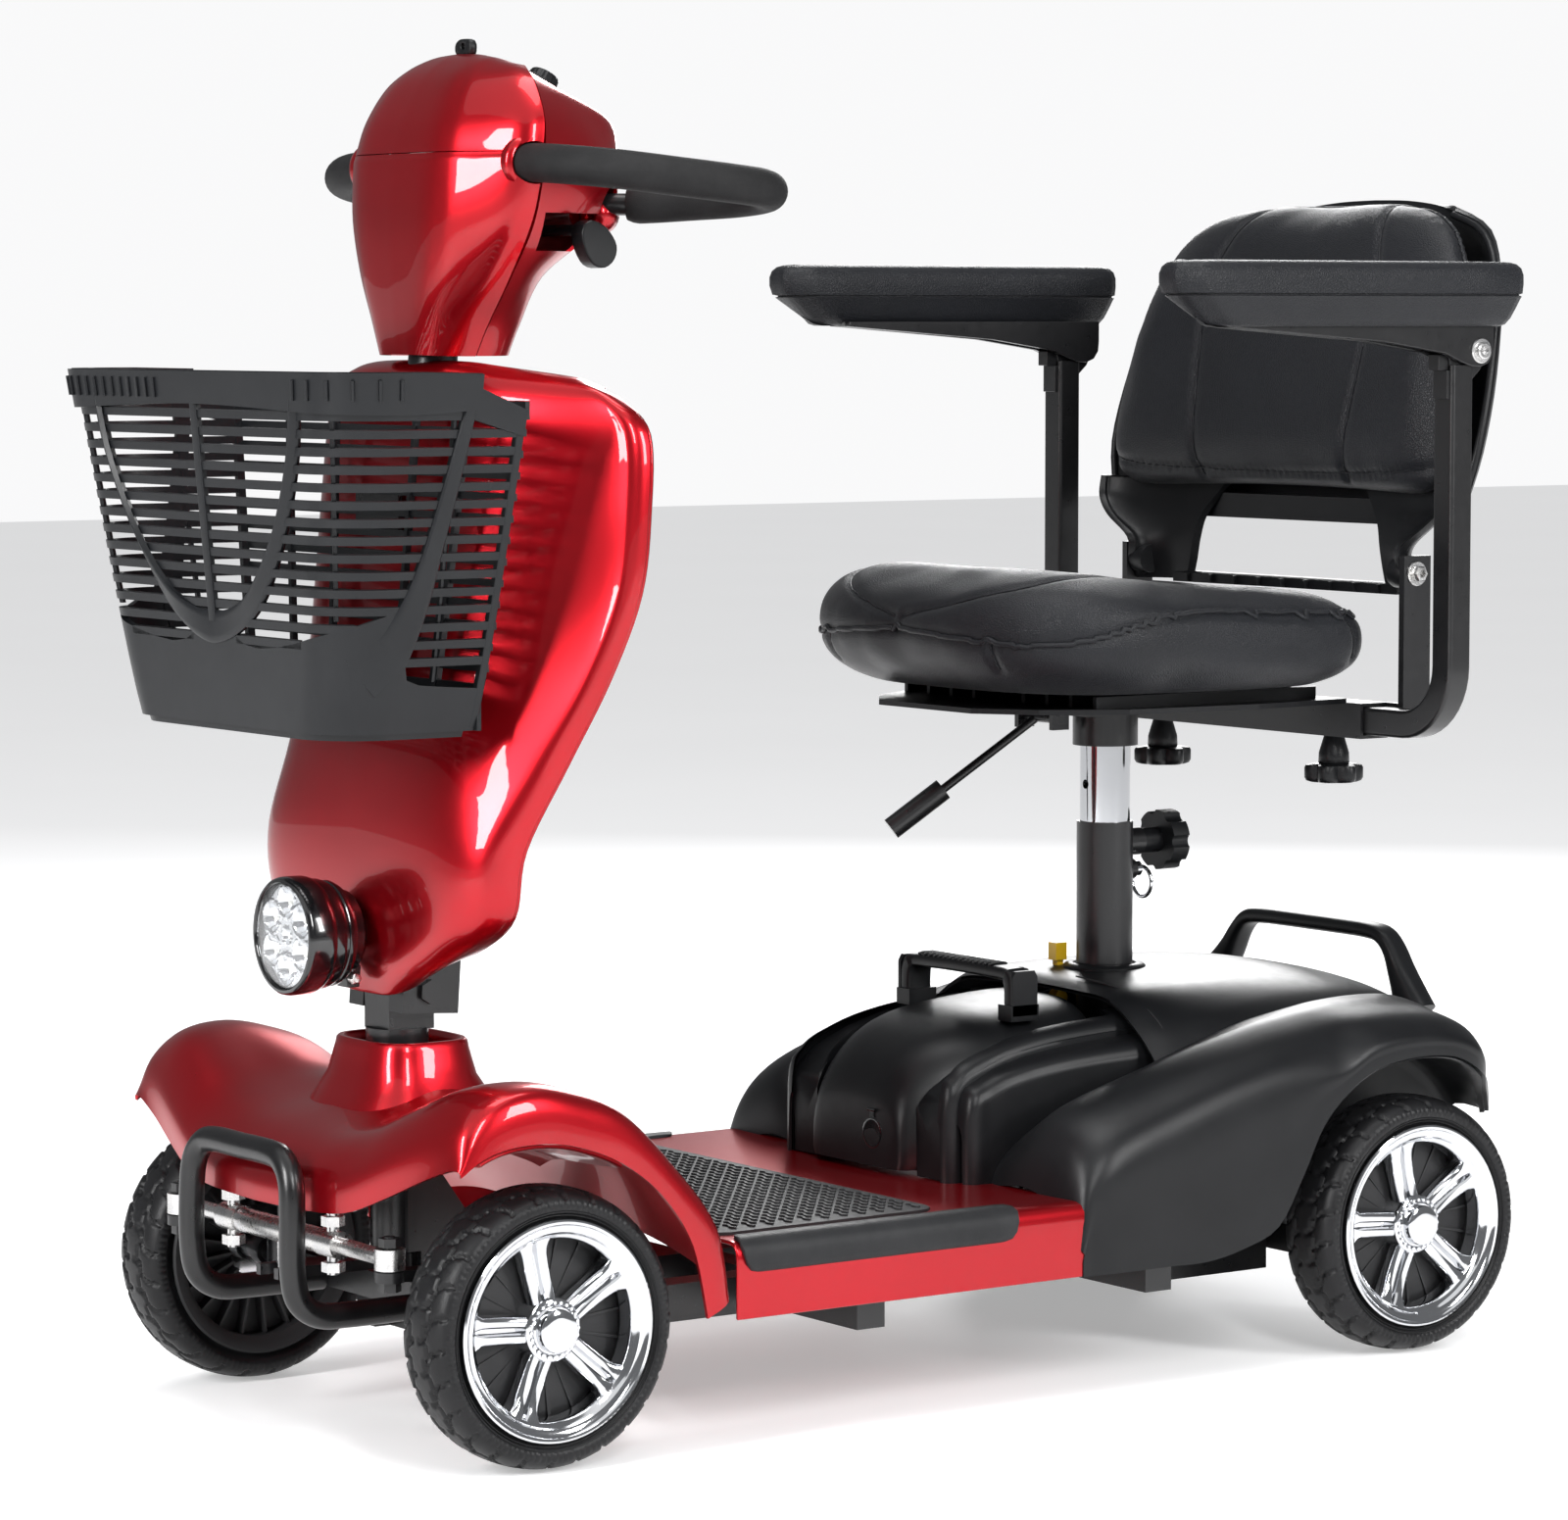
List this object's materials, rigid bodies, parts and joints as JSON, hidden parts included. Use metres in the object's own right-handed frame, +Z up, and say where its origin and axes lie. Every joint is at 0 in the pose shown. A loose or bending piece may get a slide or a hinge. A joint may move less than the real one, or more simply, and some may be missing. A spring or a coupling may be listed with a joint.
{
  "type": "mobility scooter",
  "caption": "Travel mobility scooter with tiller, wire-slat basket, flat deck, lift-off battery and swivelling armchair seat.",
  "frame": {"origin": "on the ground under the middle of the scooter's overall length and width", "axes": "+Z up, -Y towards the front, +X towards the rider's left"},
  "size_m": [0.5496, 1.1067, 1.006],
  "materials": {
    "frame_black": "satin",
    "red_gloss": "gloss",
    "black_plastic": "satin",
    "rubber_mat": "matte",
    "tyre": "matte",
    "chrome": "gloss",
    "steel": "satin",
    "aluminium": "satin",
    "leatherette": "satin",
    "foam_grip": "matte",
    "lens": "gloss",
    "reflector": "gloss",
    "yellow_plastic": "gloss",
    "orange_plastic": "gloss"
  },
  "bodies": {
    "chassis": {"chassis_frame": "frame_black", "front_axle_beam": "frame_black", "bumper": "frame_black", "front_cover": "red_gloss", "deck_shell": "red_gloss", "deck_mat": "rubber_mat", "deck_strips": "rubber_mat", "rear_cover": "black_plastic", "rear_grab_handle": "black_plastic", "transaxle": "aluminium", "controller": "aluminium", "seat_post_tube": "frame_black"},
    "battery_pack": {"battery_case": "black_plastic", "battery_handle": "black_plastic", "battery_cells": "black_plastic"},
    "charge_flap": {"charge_cap": "black_plastic"},
    "knuckle_left": {"knuckle_left": "frame_black"},
    "knuckle_right": {"knuckle_right": "frame_black"},
    "tie_rod": {"tie_rod": "steel"},
    "front_wheel_left": {"front_tyre_left": "tyre", "front_rim_left": "chrome"},
    "front_wheel_right": {"front_tyre_right": "tyre", "front_rim_right": "chrome"},
    "rear_wheel_left": {"rear_tyre_left": "tyre", "rear_rim_left": "chrome"},
    "rear_wheel_right": {"rear_tyre_right": "tyre", "rear_rim_right": "chrome"},
    "steering": {"steering_column": "frame_black"},
    "tiller": {"mast": "frame_black", "tiller_cover": "red_gloss", "tiller_back_cover": "black_plastic", "head_front_shell": "red_gloss", "head_rear_shell": "red_gloss", "console_panel": "black_plastic", "handlebar_frame": "frame_black", "handlebar_grips": "foam_grip", "headlight_housing": "black_plastic", "headlight_reflectors": "reflector", "headlight_lens": "lens"},
    "key": {"ignition_key": "black_plastic"},
    "speed_dial": {"speed_knob": "black_plastic"},
    "horn": {"horn_button": "orange_plastic"},
    "throttle": {"throttle_lever": "black_plastic"},
    "basket": {"basket": "black_plastic"},
    "post": {"seat_post": "chrome"},
    "seat": {"seat_frame": "frame_black", "seat_pan": "black_plastic", "seat_cushion": "leatherette"},
    "seat_lever": {"swivel_lever": "black_plastic"},
    "backrest": {"back_shell": "black_plastic", "back_cushion": "leatherette"},
    "arm_left": {"arm_tube_left": "frame_black"},
    "arm_right": {"arm_tube_right": "frame_black"},
    "pad_left": {"arm_pad_left": "black_plastic"},
    "pad_right": {"arm_pad_right": "black_plastic"},
    "width_knob_left": {"arm_knob_left": "black_plastic"},
    "width_knob_right": {"arm_knob_right": "black_plastic"},
    "height_knob": {"post_knob": "black_plastic"},
    "height_pin": {"ring_pin": "steel"},
    "freewheel": {"freewheel_lever": "yellow_plastic"}
  },
  "joints": [
    {"name": "steer", "type": "hinge", "parent": "chassis", "child": "steering", "pos_m": [0, -0.39, 0.112], "axis": [0, 0, 1], "range_deg": [-30, 30]},
    {"name": "kingpin_left", "type": "hinge", "parent": "chassis", "child": "knuckle_left", "pos_m": [0.15, -0.4, 0.1], "axis": [0, 0, 1], "range_deg": [-30, 30]},
    {"name": "kingpin_right", "type": "hinge", "parent": "chassis", "child": "knuckle_right", "pos_m": [-0.15, -0.4, 0.1], "axis": [0, 0, 1], "range_deg": [-30, 30]},
    {"name": "tie_rod_pivot", "type": "hinge", "parent": "knuckle_right", "child": "tie_rod", "pos_m": [-0.15, -0.487, 0.148], "axis": [0, 0, 1], "range_deg": [-30, 30]},
    {"name": "front_left_spin", "type": "hinge", "parent": "knuckle_left", "child": "front_wheel_left", "pos_m": [0.206, -0.4, 0.1], "axis": [1, 0, 0], "continuous": true},
    {"name": "front_right_spin", "type": "hinge", "parent": "knuckle_right", "child": "front_wheel_right", "pos_m": [-0.206, -0.4, 0.1], "axis": [1, 0, 0], "continuous": true},
    {"name": "rear_left_spin", "type": "hinge", "parent": "chassis", "child": "rear_wheel_left", "pos_m": [0.214, 0.393, 0.1], "axis": [1, 0, 0], "continuous": true},
    {"name": "rear_right_spin", "type": "hinge", "parent": "chassis", "child": "rear_wheel_right", "pos_m": [-0.214, 0.393, 0.1], "axis": [1, 0, 0], "continuous": true},
    {"name": "tiller_tilt", "type": "hinge", "parent": "steering", "child": "tiller", "pos_m": [0, -0.386, 0.318], "axis": [1, 0, 0], "range_deg": [-7, 10]},
    {"name": "key_turn", "type": "hinge", "parent": "tiller", "child": "key", "pos_m": [0, -0.327, 0.985], "axis": [0, 0, 1], "range_deg": [0, 60]},
    {"name": "speed_dial_turn", "type": "hinge", "parent": "tiller", "child": "speed_dial", "pos_m": [0.024, -0.281, 0.9695], "axis": [0, 0.515, 0.8572], "range_deg": [-135, 135]},
    {"name": "horn_press", "type": "slide", "parent": "tiller", "child": "horn", "axis": [0, -0.515, -0.8572], "range_m": [0, 0.003], "stiffness_N_per_m": 600},
    {"name": "throttle_turn", "type": "hinge", "parent": "tiller", "child": "throttle", "pos_m": [0, -0.292, 0.866], "axis": [0, 0, 1], "range_deg": [-9, 9], "stiffness_Nm_per_rad": 1.5},
    {"name": "basket_lift", "type": "slide", "parent": "tiller", "child": "basket", "axis": [0, -0.6, 0.8], "range_m": [0, 0.3]},
    {"name": "seat_height", "type": "slide", "parent": "chassis", "child": "post", "axis": [0, 0, 1], "range_m": [-0.04, 0.06]},
    {"name": "seat_swivel", "type": "hinge", "parent": "post", "child": "seat", "pos_m": [0, 0.267, 0.48], "axis": [0, 0, 1], "continuous": true},
    {"name": "seat_lever_pull", "type": "hinge", "parent": "seat", "child": "seat_lever", "pos_m": [-0.027, 0.224, 0.487], "axis": [-1, 0, 0], "range_deg": [0, 15], "stiffness_Nm_per_rad": 2},
    {"name": "back_fold", "type": "hinge", "parent": "seat", "child": "backrest", "pos_m": [0, 0.437, 0.604], "axis": [1, 0, 0], "range_deg": [0, 72]},
    {"name": "arm_left_slide", "type": "slide", "parent": "seat", "child": "arm_left", "axis": [1, 0, 0], "range_m": [0, 0.05]},
    {"name": "arm_right_slide", "type": "slide", "parent": "seat", "child": "arm_right", "axis": [-1, 0, 0], "range_m": [0, 0.05]},
    {"name": "arm_left_flip", "type": "hinge", "parent": "arm_left", "child": "pad_left", "pos_m": [0.245, 0.428, 0.779], "axis": [-1, 0, 0], "range_deg": [0, 95]},
    {"name": "arm_right_flip", "type": "hinge", "parent": "arm_right", "child": "pad_right", "pos_m": [-0.245, 0.428, 0.779], "axis": [-1, 0, 0], "range_deg": [0, 95]},
    {"name": "width_knob_left_turn", "type": "hinge", "parent": "seat", "child": "width_knob_left", "pos_m": [0.108, 0.413, 0.45], "axis": [0, 0, 1], "continuous": true},
    {"name": "width_knob_right_turn", "type": "hinge", "parent": "seat", "child": "width_knob_right", "pos_m": [-0.108, 0.413, 0.45], "axis": [0, 0, 1], "continuous": true},
    {"name": "height_knob_turn", "type": "hinge", "parent": "chassis", "child": "height_knob", "pos_m": [0, 0.31, 0.387], "axis": [0, 1, 0], "continuous": true},
    {"name": "height_pin_pull", "type": "slide", "parent": "chassis", "child": "height_pin", "axis": [0, 1, 0], "range_m": [0, 0.006], "stiffness_N_per_m": 400},
    {"name": "battery_lift", "type": "slide", "parent": "chassis", "child": "battery_pack", "axis": [0, -0.82, 0.5724], "range_m": [0, 0.33]},
    {"name": "charge_flap_open", "type": "hinge", "parent": "battery_pack", "child": "charge_flap", "pos_m": [0.024, 0.0204, 0.196], "axis": [-1, 0, 0], "range_deg": [0, 100]},
    {"name": "freewheel_turn", "type": "hinge", "parent": "chassis", "child": "freewheel", "pos_m": [-0.033, 0.246, 0.262], "axis": [1, 0, 0], "range_deg": [0, 22]}
  ],
  "couplings": [
    {"joint": "kingpin_left", "follows": "steer", "ratio": 1},
    {"joint": "kingpin_right", "follows": "steer", "ratio": 1},
    {"joint": "tie_rod_pivot", "follows": "steer", "ratio": -1}
  ]
}
